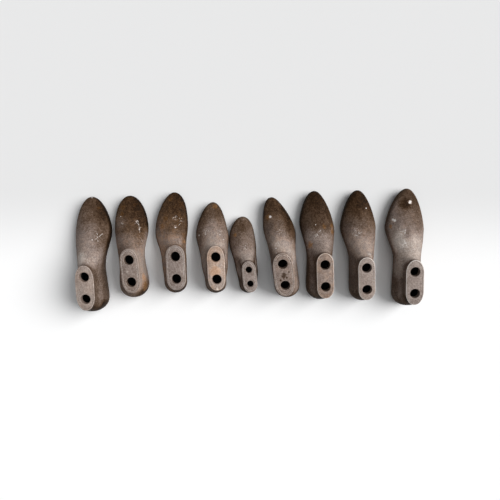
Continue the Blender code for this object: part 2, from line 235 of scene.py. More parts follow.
def front_of(last, stand, level):
    """How far in front of the heel a level reaches: the toe, then the ridge of the instep."""
    mouth_front = mouth_middle(last, stand.tilt) + last.mouth_long / 2 * cos(stand.tilt)
    ridge = tuple((height, share * last.length) for height, share in RIDGE)
    return read_curve(ridge + ((1.0, mouth_front),), level) - DRAWN_IN * (1.0 - ease(0.0, 0.11, level))


print(f"the sole of last 1 rises {sole_rise(ROW[1], 80.0):.1f} mm under the arch")

# %% [markdown]
# ## One outline of a level
# Seen from above, a level is four widths with an eased step between them: the round of the heel,
# the waist, the ball, and the round of the toe. The same outline drawn in makes the hollow. Where
# the waist is narrow, the hollow would cut through the outside, so a least wall holds it back.

# %% The width at each place
LEAST_WALL = 3.0    # least wall that the hollow leaves beside it
BULGE = 4.5         # how far the back of the heel stands out


def half_width(last, level, along, side, rear, front, inset):
    """Half width of a level at one place along it: heel round, waist, ball and toe."""
    heel = last.heel / 2 * read_curve(HEEL, level) - inset
    waist = last.waist / 2 * read_curve(WAIST, level) - inset
    ball = last.ball / 2 * read_curve(BALL, level) - inset
    heel_at = rear + heel
    ball_at = min(last.ball_at, front - 2.0 * ball) + side * last.slant * (1.0 - level)
    waist_at = min(0.4 * last.length, (heel_at + ball_at) / 2)
    if along <= heel_at:
        return heel * power_round((heel_at - along) / heel, 2.2)
    if along <= waist_at:
        return heel + (waist - heel) * ease(heel_at, waist_at, along)
    if along <= ball_at:
        return waist + (ball - waist) * ease(waist_at, ball_at, along)
    power = last.toe_power + (2.0 - last.toe_power) * ease(0.2, 0.6, level)
    return ball * power_round((along - ball_at) / (front - ball_at), power)


def body_ring(last, stand, level, front, inset=0.0):
    """A closed ring of points round the body at a share of its height, drawn in by inset."""
    swing = ((0.0, 0.0), (0.3 * last.length, 0.15 * last.ball_swing),
             (last.ball_at, last.ball_swing), (last.length, last.toe_swing))
    rear = inset - BULGE * read_curve(BACK, level)
    blend = ease(0.5, 1.0, level)
    lean = tan(stand.tilt) * level**4
    ring = []
    for turn, mouth in zip(TURNS, mouth_ring(last, stand, inset, 0.0)):
        side = 1.0 if sin(turn) >= 0 else -1.0
        along = rear + (front - rear) * (0.5 + 0.5 * cos(turn))
        width = half_width(last, level, along, side, rear, front, inset)
        if inset > LEAST_WALL:
            outside = half_width(last, level, along, side, rear - inset, front_of(last, stand, level), 0.0)
            width = min(width, outside - LEAST_WALL)
        across = side * width
        across += read_curve(swing, along) * (1.0 - level**2) + last.top_swing * level**2
        across += (mouth.x - across) * blend
        along += (mouth.y - along) * blend
        height = stand.height * level + sole_rise(last, along) * (1.0 - level) ** 1.5
        ring.append(Vector((across, along, height + lean * (along - mouth_middle(last, stand.tilt)))))
    return ring


widest = max(point.x for point in body_ring(ROW[1], stands[1], 0.14, front_of(ROW[1], stands[1], 0.14)))
print(f"last 1 reaches {widest:.1f} mm to the side of its heel line")

# %% [markdown]
# ## Lofting with the extrude operator
# A circle is laid on the first ring. Its edges are then extruded again and again, and each new
# circle is moved to the next ring. Every point carries a number, so the circles never twist
# against each other. Each band of faces gets its own finish: cast skin, machined rim, or the
# inside, which is coloured nearly black as painted shade.

# %% A ring, and the next ring pulled out of it
def start_ring(bm, points):
    """Lay a circle of edges on the points."""
    order = bm.verts.layers.int.get("order") or bm.verts.layers.int.new("order")
    verts = bmesh.ops.create_circle(bm, segments=len(points), radius=1.0)["verts"]
    for number, (vert, point) in enumerate(zip(verts, points)):
        vert[order] = number
        vert.co = point
    return verts, ring_edges(bm, verts)


def ring_edges(bm, verts):
    """The edges that join neighbours round a ring."""
    return [bm.edges.get(pair) for pair in zip(verts, verts[1:] + verts[:1])]


def give_finish(items, finish):
    """Number the finish of the faces among the items."""
    for item in items:
        if isinstance(item, bmesh.types.BMFace):
            item.material_index = finish


def pull_ring(bm, edges, points, finish):
    """Extrude a ring of edges to new points and give the band of faces a finish."""
    order = bm.verts.layers.int["order"]
    made = bmesh.ops.extrude_edge_only(bm, edges=edges)["geom"]
    verts = sorted((item for item in made if isinstance(item, bmesh.types.BMVert)),
                   key=lambda vert: vert[order])
    for vert, point in zip(verts, points):
        vert.co = point
    give_finish(made, finish)
    return verts, ring_edges(bm, verts)


def close_ring(bm, verts, finish):
    """Fill a ring with strips that run from one side to the other."""
    give_finish(bmesh.ops.contextual_create(bm, geom=ring_edges(bm, verts))["faces"], finish)
    for number in range(1, len(verts) // 2):
        bmesh.ops.connect_verts(bm, verts=[verts[number], verts[-number]])


def add_object(name, data):
    """Put a new object into the scene."""
    made = bpy.data.objects.new(name, data)
    bpy.context.scene.collection.objects.link(made)
    return made


def add_mesh(name, bm):
    """Put a finished mesh into the scene."""
    mesh = bpy.data.meshes.new(name)
    bm.to_mesh(mesh)
    bm.free()
    return add_object(name, mesh)


def set_down(bm, name, body, node, matrix):
    """Make the mesh a piece of the row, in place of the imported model's node."""
    bmesh.ops.transform(bm, matrix=matrix @ Matrix.Scale(0.001, 4), verts=bm.verts)
    bmesh.ops.recalc_face_normals(bm, faces=bm.faces)
    piece = add_mesh(name, bm)
    piece.data.shade_smooth()
    piece.data.set_sharp_from_angle(angle=radians(38))
    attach(piece, body)
    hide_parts(node)
    return piece

# %% [markdown]
# ## The castings
# The outside goes up from the sole in close steps where it curves hard, and ends in a rim whose
# outer edge is rubbed round. Inside the rim the rings go down the pocket, over the ledge and
# through the hollow. A real founder breaks every sharp edge, so the sole and the rim get a small
# round made of rings of their own.

# %% Loft the nine castings
SKIN, RUBBED_HIGHLIT, FLAT, LIP, INSIDE = 0, 1, 2, 3, 4
LEVELS = (0.014, 0.03, 0.05, 0.08, 0.11, 0.15, 0.20, 0.24, 0.28, 0.31, 0.34, 0.37, 0.40, 0.44, 0.48,
          0.52, 0.56, 0.60, 0.65, 0.70, 0.75, 0.80, 0.85, 0.90, 0.94, 0.97, 0.985)
HOLLOW = (0.54, 0.48, 0.42, 0.36, 0.30, 0.24, 0.19)
WALL = 4.5          # thickness of the casting
SOLE = 7.5          # thickness of its sole
SOLID_TOE = 14.0    # how far the hollow stays behind the tip of the toe
LEDGE = 3.0         # width of the ledge that the plate sits on
LEDGE_DEEP = 4.0    # thickness of that ledge
SOLE_ROUND = 1.2    # how far the small round at the sole draws the first ring in


def shell_bands(last, stand):
    """The rings of a casting after the first one, each with the finish of the band below it."""
    bands = [(body_ring(last, stand, level, front_of(last, stand, level)), SKIN) for level in LEVELS]
    # The rubbed bands take the rim finish: lighter for wear and for a painted highlight.
    for inset, depth, finish in ((0.0, 0.7, SKIN), (0.3, 0.25, RUBBED_HIGHLIT), (1.0, 0.0, RUBBED_HIGHLIT),
                                 (RIM - 0.2, 0.0, FLAT), (RIM, 0.2, LIP),
                                 (RIM, PLATE + GAP, INSIDE), (RIM + LEDGE, PLATE + GAP, INSIDE),
                                 (RIM + LEDGE, PLATE + GAP + LEDGE_DEEP, INSIDE)):
        bands.append((mouth_ring(last, stand, inset, depth), finish))
    for level in HOLLOW + (SOLE / stand.height,):
        front = front_of(last, stand, level + WALL / stand.height) - SOLID_TOE
        bands.append((body_ring(last, stand, level, front, WALL), INSIDE))
    return bands


def heel_matrix(last, stand):
    """Set a last down with its heel where the record's top plate says that it is."""
    turned = Matrix.Rotation(stand.turn, 4, "Z")
    offset = turned @ Vector((last.top_swing, mouth_middle(last, stand.tilt), 0.0)) / 1000
    return Matrix.Translation((stand.middle.x - offset.x, stand.middle.y - offset.y, 0.0)) @ turned


castings = {}
for number, last in ROW.items():
    bm = bmesh.new()
    sole = body_ring(last, stands[number], 0.0, front_of(last, stands[number], 0.0), SOLE_ROUND)
    verts, edges = start_ring(bm, sole)
    close_ring(bm, verts, SKIN)
    for ring, finish in shell_bands(last, stands[number]):
        verts, edges = pull_ring(bm, edges, ring, finish)
    close_ring(bm, verts, INSIDE)
    castings[number] = set_down(bm, f"last_{number}_casting", f"last_{number}",
                                f"last_{number}_shell", heel_matrix(last, stands[number]))
    print(f"casting {number}: {len(castings[number].data.polygons)} faces")

# %% [markdown]
# ## The top plates
# A plate could be a solid with two holes cut out of it. Here its top face is filled between three
# rings, the outline and the two holes, and the same rings are then pulled down: first over the
# broken edges, then along the sides and the bores. No cut means no stray edges.

# %% Fill and pull the nine plates
FACE, EDGE, BORE = 0, 1, 2
WORN, CRISP = 0.45, 0.2     # broken edge round a plate: rubbed wide on some, still narrow on others
BROKEN = {number: WORN if number in (2, 3, 5, 6) else CRISP for number in ROW}
COUNTERSINK = 1.0           # broken edge round each hole


def plate_ring(last, inset, height):
    """The plate's outline in its own frame, drawn in by inset."""
    points = (mouth_outline(last, turn, RIM + GAP + inset) for turn in TURNS)
    return [Vector((across, along, height)) for across, along in points]


def hole_ring(place, radius, height):
    """A circle round one pin hole in the plate's own frame."""
    return [Vector((radius * cos(turn), place + radius * sin(turn), height)) for turn in TURNS[::2]]


def sunk_rings(last, broken):
    """Each ring of the top face, with the rings and finishes that follow it downwards."""
    sides = [(plate_ring(last, broken / 4, -broken / 4), EDGE), (plate_ring(last, 0.0, -broken), EDGE),
             (plate_ring(last, 0.0, -PLATE), BORE)]
    yield plate_ring(last, broken, 0.0), sides
    radius = last.bore / 2
    steps = ((0.8, -0.3, EDGE), (0.1, -COUNTERSINK, BORE), (0.0, -COUNTERSINK - 0.4, BORE),
             (0.0, -PLATE, BORE))
    for place in (-last.pitch / 2, last.pitch / 2):
        bore = [(hole_ring(place, radius + wider, height), finish) for wider, height, finish in steps]
        yield hole_ring(place, radius + COUNTERSINK, 0.0), bore


plates = {}
for number, last in ROW.items():
    stand = stands[number]
    bm = bmesh.new()
    tops, floors = [], []
    for ring, bands in sunk_rings(last, BROKEN[number]):
        verts, edges = start_ring(bm, ring)
        tops += edges
        for points, finish in bands:
            verts, edges = pull_ring(bm, edges, points, finish)
        floors += edges
    for edges, finish in ((tops, FACE), (floors, BORE)):
        filled = bmesh.ops.triangle_fill(bm, use_beauty=True, edges=edges, normal=(0, 0, 1))
        give_finish(filled["geom"], finish)
    leaned = Matrix.Rotation(stand.turn, 4, "Z") @ Matrix.Rotation(stand.tilt, 4, "X")
    plates[number] = set_down(bm, f"last_{number}_plate", f"last_{number}",
                              f"last_{number}_top_plate", Matrix.Translation(stand.middle) @ leaned)
print(len(plates), "plates of", len(plates[1].data.polygons), "faces")

# %% [markdown]
# ## How steep the surface is
# The steepness sets where the steep sides get a tone of their own, and where the front is darkened
# at its brink as painted shade. A shader can't know where hands have been, but it can read a value
# stored on the points: 0 where the surface lies flat and 1 where it stands upright.

# %% Store the steepness
for piece in castings.values():
    steep = piece.data.attributes.new("steep", "FLOAT", "POINT")
    steep.data.foreach_set("value", [1.0 - abs(vert.normal.z) for vert in piece.data.vertices])
print("steepness is stored on", len(castings[1].data.vertices), "points of casting 1")

# %% [markdown]
# ## Building materials from small parts
# The colour of old metal comes from several things laid over each other: the skin that the
# casting got in the mould, a brown patina, rust, places rubbed pale, and scratches. Each is a
# node group that puts out a mask, so that a material reads like a list of layers.

# %% Helpers for shader nodes
def plug(tree, node, inputs):
    """Give a node its inputs: a socket is linked, and a value is set."""
    for name, value in inputs.items():
        if isinstance(value, bpy.types.NodeSocket):
            tree.links.new(value, node.inputs[name])
        else:
            node.inputs[name].default_value = value


def add(tree, kind, inputs=None, **settings):
    """Add a shader node with its settings and its inputs."""
    made = tree.nodes.new("ShaderNode" + kind)
    for name, value in settings.items():
        setattr(made, name, value)
    plug(tree, made, inputs or {})
    return made


def maths(tree, operation, first, second=0.0):
    """One Math node."""
    return add(tree, "Math", {0: first, 1: second}, operation=operation).outputs[0]


def times(tree, first, second):
    """One value times another."""
    return maths(tree, "MULTIPLY", first, second)


def vectors(tree, operation, first, second):
    """The outputs of one Vector Math node."""
    return add(tree, "VectorMath", {0: first, 1: second}, operation=operation).outputs


def noise(tree, vector, scale, detail=2.0, roughness=0.5, distortion=0.0):
    """The strength of a noise texture."""
    return add(tree, "TexNoise", {"Vector": vector, "Scale": scale, "Detail": detail,
                                  "Roughness": roughness, "Distortion": distortion}).outputs["Fac"]


def spread(tree, value, low, high, start=0.0, end=1.0):
    """Turn the span from low to high smoothly into start to end."""
    return add(tree, "MapRange", {"Value": value, "From Min": low, "From Max": high, "To Min": start,
                                  "To Max": end}, interpolation_type="SMOOTHSTEP").outputs[0]


def blend(tree, share, below, above):
    """Lay one colour over another by a share."""
    return add(tree, "Mix", {"Factor": share, 6: below, 7: above}, data_type="RGBA").outputs[2]


def between(tree, share, below, above):
    """Go from one value to another by a share."""
    return add(tree, "Mix", {"Factor": share, 2: below, 3: above}, data_type="FLOAT").outputs[0]


def most(tree, masks):
    """The strongest of several masks."""
    found = masks[0]
    for mask in masks[1:]:
        found = maths(tree, "MAXIMUM", found, mask)
    return found


def new_group(name, inputs, outputs):
    """Start a node group with sockets of these names. Those that kinds leaves out are numbers."""
    kinds = {"Vector": "Vector", "Centre": "Vector", "Start": "Vector", "End": "Vector", "Color": "Color"}
    tree = bpy.data.node_groups.new(name, "ShaderNodeTree")
    for way, labels in (("INPUT", inputs), ("OUTPUT", outputs)):
        for label in labels.split():
            kind = "NodeSocket" + kinds.get(label, "Float")
            tree.interface.new_socket(label, in_out=way, socket_type=kind)
    return tree, tree.nodes.new("NodeGroupInput").outputs, tree.nodes.new("NodeGroupOutput").inputs


def group(tree, name, *inputs):
    """Use a node group on inputs in its own order and give back its outputs."""
    return add(tree, "Group", dict(enumerate(inputs)), node_tree=bpy.data.node_groups[name]).outputs

# %% [markdown]
# ## Clouds
# Nothing old is one even colour. A cloud is soft noise with its ends pushed apart, so that it has
# clear light and dark areas. The fourth coordinate of the noise is a seed, which gives each last
# clouds of its own.

# %% The cloud group
tree, given, result = new_group("cloud", "Vector Scale Seed Low High", "Mask")
soft = add(tree, "TexNoise", {"Vector": given["Vector"], "W": given["Seed"], "Scale": given["Scale"],
                              "Detail": 4.0, "Roughness": 0.6}, noise_dimensions="4D").outputs["Fac"]
tree.links.new(spread(tree, soft, given["Low"], given["High"]), result["Mask"])
print("inputs of a cloud:", [socket.name for socket in given][:-1])

# %% [markdown]
# ## Marks
# A rust patch, a chip or a stain sits at one place. A mark is a ball round that place with noise
# added to the distance, and that breaks its edge up. More noise makes it more ragged.

# %% The mark group
tree, given, result = new_group("mark", "Vector Centre Reach Ragged", "Mask")
away = vectors(tree, "DISTANCE", given["Vector"], given["Centre"])["Value"]
crumbs = maths(tree, "SUBTRACT", noise(tree, given["Vector"], 210.0, 5.0, 0.7), 0.5)
share = maths(tree, "DIVIDE", away, given["Reach"])
share = maths(tree, "ADD", share, times(tree, crumbs, given["Ragged"]))
tree.links.new(spread(tree, share, 1.0, 0.35), result["Mask"])


def mark(tree, local, place, reach, ragged):
    """The mask of one mark."""
    return group(tree, "mark", local, place, reach, ragged)["Mask"]


print("inputs of a mark:", [socket.name for socket in given][:-1])

# %% [markdown]
# ## Streaks
# A single long scratch is a mark along a line. The dot product finds the nearest point of the
# line, Clamp keeps it between the two ends, and noise breaks the scratch where the tool skipped.

# %% The streak group
tree, given, result = new_group("streak", "Vector Start End Width", "Mask")
along = vectors(tree, "SUBTRACT", given["End"], given["Start"])["Vector"]
reach = vectors(tree, "SUBTRACT", given["Vector"], given["Start"])["Vector"]
part = maths(tree, "DIVIDE", vectors(tree, "DOT_PRODUCT", reach, along)["Value"],
             vectors(tree, "DOT_PRODUCT", along, along)["Value"])
part = add(tree, "Clamp", {"Value": part}).outputs[0]
nearest = add(tree, "VectorMath", {0: along, "Scale": part}, operation="SCALE").outputs["Vector"]
away = vectors(tree, "DISTANCE", reach, nearest)["Value"]
skips = spread(tree, noise(tree, given["Vector"], 420.0), 0.62, 0.38, 0.0, 0.8)
share = maths(tree, "ADD", maths(tree, "DIVIDE", away, given["Width"]), skips)
tree.links.new(spread(tree, share, 1.0, 0.3), result["Mask"])
print("inputs of a streak:", [socket.name for socket in given][:-1])

# %% [markdown]
# ## Scuffs
# A scuff is a patch of fine scratches that cross each other. Noise has contour lines like a map,
# and a thin contour looks like a scratch. A second noise breaks the lines, and a mark keeps them
# together at one place.

# %% The scuff group
tree, given, result = new_group("scuff", "Vector Centre Reach", "Mask")
patch = mark(tree, given["Vector"], given["Centre"], given["Reach"], 1.4)
contours = noise(tree, given["Vector"], 150.0, distortion=1.2)
offset = maths(tree, "ABSOLUTE", maths(tree, "SUBTRACT", contours, 0.5))
breaks = noise(tree, given["Vector"], 320.0, 1.0)
scratch = times(tree, spread(tree, offset, 0.035, 0.006), spread(tree, breaks, 0.42, 0.58))
tree.links.new(times(tree, patch, scratch), result["Mask"])
print("inputs of a scuff:", [socket.name for socket in given][:-1])

# %% [markdown]
# ## Casting grain
# Sand leaves a cast skin with fine grain and a few small pits. A bump from noise and from the
# cells of a Voronoi texture gives both. The height goes to a Bump node, and the pits also darken
# the colour a little, because dirt stays in them.

# %% The grain group
tree, given, result = new_group("casting_grain", "Vector", "Height Pits")
cells = add(tree, "TexVoronoi", {"Vector": given["Vector"], "Scale": 330.0}).outputs["Distance"]
chosen = noise(tree, given["Vector"], 150.0)
pits = times(tree, spread(tree, cells, 0.30, 0.12), spread(tree, chosen, 0.52, 0.66))
height = maths(tree, "ADD", times(tree, noise(tree, given["Vector"], 700.0, 5.0, 0.6), 0.35),
               times(tree, noise(tree, given["Vector"], 60.0), 1.6))
tree.links.new(maths(tree, "SUBTRACT", height, times(tree, pits, 0.5)), result["Height"])
tree.links.new(pits, result["Pits"])
print("the grain puts out:", [socket.name for socket in result][:-1])

# %% [markdown]
# ## One ramp for all the metal
# The less a place is touched, the thicker and browner its patina. So one number, the tone, is
# enough for the colour: a ramp turns it from the near black of the toes through brown to the warm
# grey of bare metal. A second ramp holds the same steps in rust, and a share mixes the two.

# %% The patina group
METAL = ((0.08, (0.009, 0.005, 0.003)), (0.20, (0.034, 0.018, 0.009)), (0.33, (0.089, 0.059, 0.042)),
         (0.43, (0.155, 0.115, 0.094)), (0.53, (0.246, 0.199, 0.178)), (0.63, (0.352, 0.297, 0.264)),
         (0.80, (0.600, 0.550, 0.510)), (1.00, (0.820, 0.790, 0.760)))
RUSTY = ((0.08, (0.010, 0.005, 0.002)), (0.20, (0.040, 0.018, 0.007)), (0.33, (0.110, 0.054, 0.020)),
         (0.43, (0.195, 0.098, 0.040)), (0.53, (0.300, 0.160, 0.078)), (0.63, (0.420, 0.240, 0.140)),
         (0.78, (0.580, 0.370, 0.250)), (1.00, (0.780, 0.600, 0.460)))


def ramp(tree, value, stops):
    """A colour ramp through stops of a place and a colour."""
    made = add(tree, "ValToRGB", {"Fac": value})
    elements = made.color_ramp.elements
    for element, (place, colour) in zip(elements, (stops[0], stops[-1])):
        element.position, element.color = place, (*colour, 1.0)
    for place, colour in stops[1:-1]:
        elements.new(place).color = (*colour, 1.0)
    return made.outputs["Color"]


tree, given, result = new_group("patina", "Tone Rust", "Color")
mixed = blend(tree, given["Rust"], ramp(tree, given["Tone"], METAL), ramp(tree, given["Tone"], RUSTY))
tree.links.new(mixed, result["Color"])
print("the ramps have", len(METAL), "and", len(RUSTY), "steps")

# %% [markdown]
# ## The cast skin
# Handling has rubbed the instep pale, and the toe has kept its dark skin. Each last gets its own
# tones for toe, ball, instep and sides, the painted light and shade on its left and right flanks,
# its own share of rust, and its own marks: a place across, along and up from the heel in
# millimetres, a reach, and for a patch how much lighter it is. The patches are partly real tone
# and partly painted light and shade.

# %% The finish of each casting
Look = namedtuple("Look", "toe ball instep side left right rust spots shades scuffs chips streaks")
LOOKS = {
    1: Look(0.28, 0.50, 0.56, 0.365, 0.03, -0.16, 0.10, [((17, 234, 32), 6)], [((-17.6, 115.5, 64), 24, 0.16),
            ((28, 20, 45), 36, -0.02), ((-10, 225, 35), 20, 0.04)], [((18, 163, 51), 10), ((13, 118, 66), 8),
            ((5, 113, 74), 7)], [((0, 260, 25), 3), ((8.1, 160.7, 55.2), 1.5)],
            [((15.6, 162.6, 52.4), (29.4, 175.9, 40.2), 1.2), ((14.6, 179.9, 47.7), (22.3, 164.4, 48.8), 0.9),
            ((-15.7, 128.9, 62), (-19.6, 102.1, 65.6), 1.4)]),
    2: Look(0.205, 0.315, 0.465, 0.62, 0.09, -0.08, 0.24, [((-11, 207, 31), 10), ((-14, 190, 34), 9),
            ((19, 209, 29), 8), ((30, 22, 45), 20), ((26, 40, 50), 14)], [((30, 12, 35), 36, -0.25),
            ((-15, 170, 38), 22, 0.06)], [((21, 168, 40), 9), ((27, 150, 40), 9), ((-12, 169, 41), 6)],
            [((-16.5, 184.7, 34.5), 2)], [((18.7, 170.1, 39.7), (24.7, 161.8, 38.9), 0.9),
            ((24.7, 161.8, 38.9), (26.1, 145.2, 42.5), 0.9), ((26, 135.7, 45.4), (30.9, 121.8, 42.2), 1.1)]),
    3: Look(0.23, 0.37, 0.56, 0.385, 0.065, -0.08, 0.32, [((-3, 214, 29), 10), ((21, 200, 29), 9),
            ((-15, 168, 39), 11), ((-22, 150, 40), 11), ((28, 113, 43), 9)], [((28, 113, 43), 6, 0.08)],
            [((8, 168, 40), 9), ((20, 163, 37), 9), ((9, 146, 47), 7)], [((8.5, 146.1, 47.3), 2)],
            [((1.8, 169.2, 40.8), (11, 172.6, 38.4), 0.6), ((15, 168.8, 38.3), (21.8, 162.1, 36.5), 0.6),
            ((13.3, 148.2, 45.3), (19.6, 155.1, 39.5), 0.7)]),
    4: Look(0.335, 0.55, 0.655, 0.40, -0.12, -0.07, 0.16, [((8, 196, 27), 9)], [((22, 105, 50), 12, 0.05)],
            [((-17, 138, 41), 13), ((15, 134, 43), 13)], [((-33, 130.7, 31.8), 2.4),
            ((24.4, 118.1, 40.9), 1.6)], []),
    5: Look(0.315, 0.435, 0.605, 0.22, 0.00, 0.00, 0.10, [((-18, 133, 27), 6)], [((0, 147, 27), 12, -0.05),
            ((5, 169, 22), 8, 0.06), ((-20, 71, 37), 20, -0.14)], [((4, 105, 40), 11)], [], []),
    6: Look(0.235, 0.42, 0.625, 0.46, 0.03, -0.22, 0.18, [((-23, 186, 33), 10)], [((20, 90, 60), 24, 0.05)],
            [((-3, 148, 51), 9), ((-12, 118, 60), 10)], [((-18.1, 185.4, 35.1), 4.8),
            ((-16.1, 111.3, 63.5), 1.8), ((-17.4, 101, 70.6), 1.8)], []),
    7: Look(0.15, 0.29, 0.52, 0.325, 0.06, 0.01, 0.08, [((13, 224, 31), 6), ((34, 164, 33), 9),
            ((34, 150, 37), 9), ((15, 163, 49), 7), ((-20, 122, 52), 10)], [((34, 157, 34), 8, 0.07)],
            [((6, 150, 54), 8)], [((-4.8, 167.8, 48.1), 1.6), ((-6.3, 141.9, 55.6), 1.6)],
            [((-11.1, 141.7, 53.8), (-4.5, 147.3, 54.3), 1), ((-4.5, 147.3, 54.3), (-0.4, 139.7, 57.8), 1)]),
    8: Look(0.17, 0.395, 0.575, 0.43, 0.03, -0.03, 0.16, [], [((3, 185, 45), 8, -0.05),
            ((-24, 73, 49), 26, 0.06)], [((-8.5, 153, 53), 15), ((15, 100, 70), 9)],
            [((21.6, 207.5, 33.7), 2)], []),
    9: Look(0.31, 0.465, 0.655, 0.41, 0.10, -0.06, 0.12, [((-29, 180, 35), 7)],
            [((9.7, 228.4, 36.8), 19, -0.17), ((-21, 84, 50), 34, 0.27)], [((-10, 136, 61), 13),
            ((-6, 168, 53), 13)], [((20.9, 233.1, 35.4), 6.2), ((-20.6, 195.4, 34.3), 4),
            ((-17.5, 193.2, 37.6), 4.6), ((-0.3, 216, 39.9), 1.6)],
            [((-4.4, 146.7, 60.4), (-0.8, 129.5, 67.3), 1.3), ((-12.6, 133.2, 60.9), (-3.9, 139.4, 63), 1.2),
            ((-10.1, 128.9, 63.6), (-5.2, 143.4, 61.3), 1), ((1.4, 172.5, 53.5), (-1.4, 161.6, 56.3), 1)]),
}
print("marks on the castings:", sum(len(kind) for look in LOOKS.values() for kind in look[7:]))

# %% [markdown]
# ## A last's own frame
# Every piece keeps its place in its mesh, so object coordinates are the coordinates of the whole
# row. A Mapping node of the texture kind undoes the turn and the place of one last, and the marks
# and clouds that read the result stay on the last when it is lifted.

# %% Start a material and its clouds
def new_material(name):
    """A material with an empty tree but for its shader and its output."""
    material = bpy.data.materials.new(name)
    material.use_nodes = True
    return material, material.node_tree, material.node_tree.nodes["Principled BSDF"]


def own_frame(tree, number):
    """Object coordinates taken back to the heel of a last: across, along and up in metres."""
    heel = heel_matrix(ROW[number], stands[number])
    place = add(tree, "TexCoord").outputs["Object"]
    turned = (0.0, 0.0, stands[number].turn)
    return add(tree, "Mapping", {"Vector": place, "Location": heel.translation, "Rotation": turned},
               vector_type="TEXTURE").outputs[0]


CLOUDS = ((22.0, 0.34, 0.66), (75.0, 0.36, 0.64), (240.0, 0.38, 0.62), (520.0, 0.34, 0.66))


def metres(sizes):
    """A mark's place and sizes, taken from millimetres to metres."""
    return [metres(size) if isinstance(size, tuple) else size / 1000 for size in sizes]


def clouds(tree, local, number):
    """Broad, patchy, speckled and fine clouds about 0, for shifting a value up and down."""
    made = []
    for scale, low, high in CLOUDS:
        cloud = group(tree, "cloud", local, scale, number + low, low, high)["Mask"]
        made.append(maths(tree, "SUBTRACT", cloud, 0.5))
    return made


def shift(tree, value, *changes):
    """Add several masks to a value, each times its own strength."""
    for mask, strength in changes:
        value = maths(tree, "ADD", value, times(tree, mask, strength))
    return value


print("sizes of the clouds in mm:", [round(1000 / scale) for scale, _, _ in CLOUDS])

# %% [markdown]
# ## Dark toe, bare instep
# The tone is laid out along the last: the instep is palest, then come the ball and the dark toe.
# The steep sides behind the ball have a tone of their own. The flanks of the front are made lighter
# or darker as painted light and shade, and the brink of the front, the back of the heel and the
# foot of every side are darkened as painted shade.

# %% Lay out the tone
DARKEST = 0.08      # least tone of a whole area, so that the grain still shows in it


def cast_tone(tree, local, look, number, broad):
    """How bare the metal is, from toe to heel and from the top to the steep sides, with painted light and
    shade on the flanks, brink, heel back and foot.
    """
    last = ROW[number]
    axes = add(tree, "SeparateXYZ", {0: local}).outputs
    share = shift(tree, maths(tree, "DIVIDE", axes["Y"], last.length / 1000), (broad, 0.07))
    level = maths(tree, "DIVIDE", axes["Z"], stands[number].middle.z)
    beside = maths(tree, "SUBTRACT", axes["X"], last.ball_swing / 1000)
    right = maths(tree, "DIVIDE", beside, last.ball / 2000)
    steep = add(tree, "Attribute", attribute_name="steep").outputs["Fac"]
    tone = between(tree, spread(tree, share, 0.50, 0.66), look.instep, look.ball)
    tone = between(tree, spread(tree, share, 0.64, 0.92), tone, look.toe)
    wall = times(tree, spread(tree, steep, 0.30, 0.80), spread(tree, share, 0.75, 0.50))
    tone = between(tree, wall, tone, look.side)
    front = spread(tree, share, 0.42, 0.56)
    # Painted light and shade: each flank of the front is made lighter or darker by the look's left and right.
    left_painted_shading = times(tree, spread(tree, right, -0.05, -0.70), front)
    right_painted_shading = times(tree, spread(tree, right, 0.05, 0.65), front)
    # Painted shade along the steep brink of the front.
    brink_painted_shade = times(tree, spread(tree, steep, 0.40, 0.90), spread(tree, share, 0.45, 0.70))
    # Painted shade on the back of the heel.
    behind = times(tree, wall, spread(tree, share, 0.09, 0.02))
    # Painted shade along the foot of every side, near the floor.
    foot = spread(tree, level, 0.20, 0.03)
    tone = shift(tree, tone, (left_painted_shading, look.left), (right_painted_shading, look.right), (brink_painted_shade, -0.16),
                 (behind, -0.24), (foot, -0.09))
    return maths(tree, "MAXIMUM", tone, DARKEST)


print("tones of last 1 from toe to side:", LOOKS[1][:4])

# %% [markdown]
# ## The layers of the skin
# Now the layers are put together like a list: the tone with clouds and pits, the soft patches of
# real tone and painted light and shade, the rust with its spots, and last the bare scuffs, chips and
# streaks, which are pale and carry no rust.
# Bare metal is more metallic and smoother than patina. The skin is dull, so its specular level is
# low, and that number is set on the shader itself.

# %% Build the cast skin
DULL = 0.03         # specular level of the dull skin


def bare_marks(tree, local, look):
    """Every place where the skin is scratched or knocked through to the bare metal."""
    masks = [group(tree, "scuff", local, *metres(scuff))["Mask"] for scuff in look.scuffs]
    masks += [mark(tree, local, *metres(chip), 1.3) for chip in look.chips]
    masks += [group(tree, "streak", local, *metres(streak))["Mask"] for streak in look.streaks]
    return most(tree, masks)


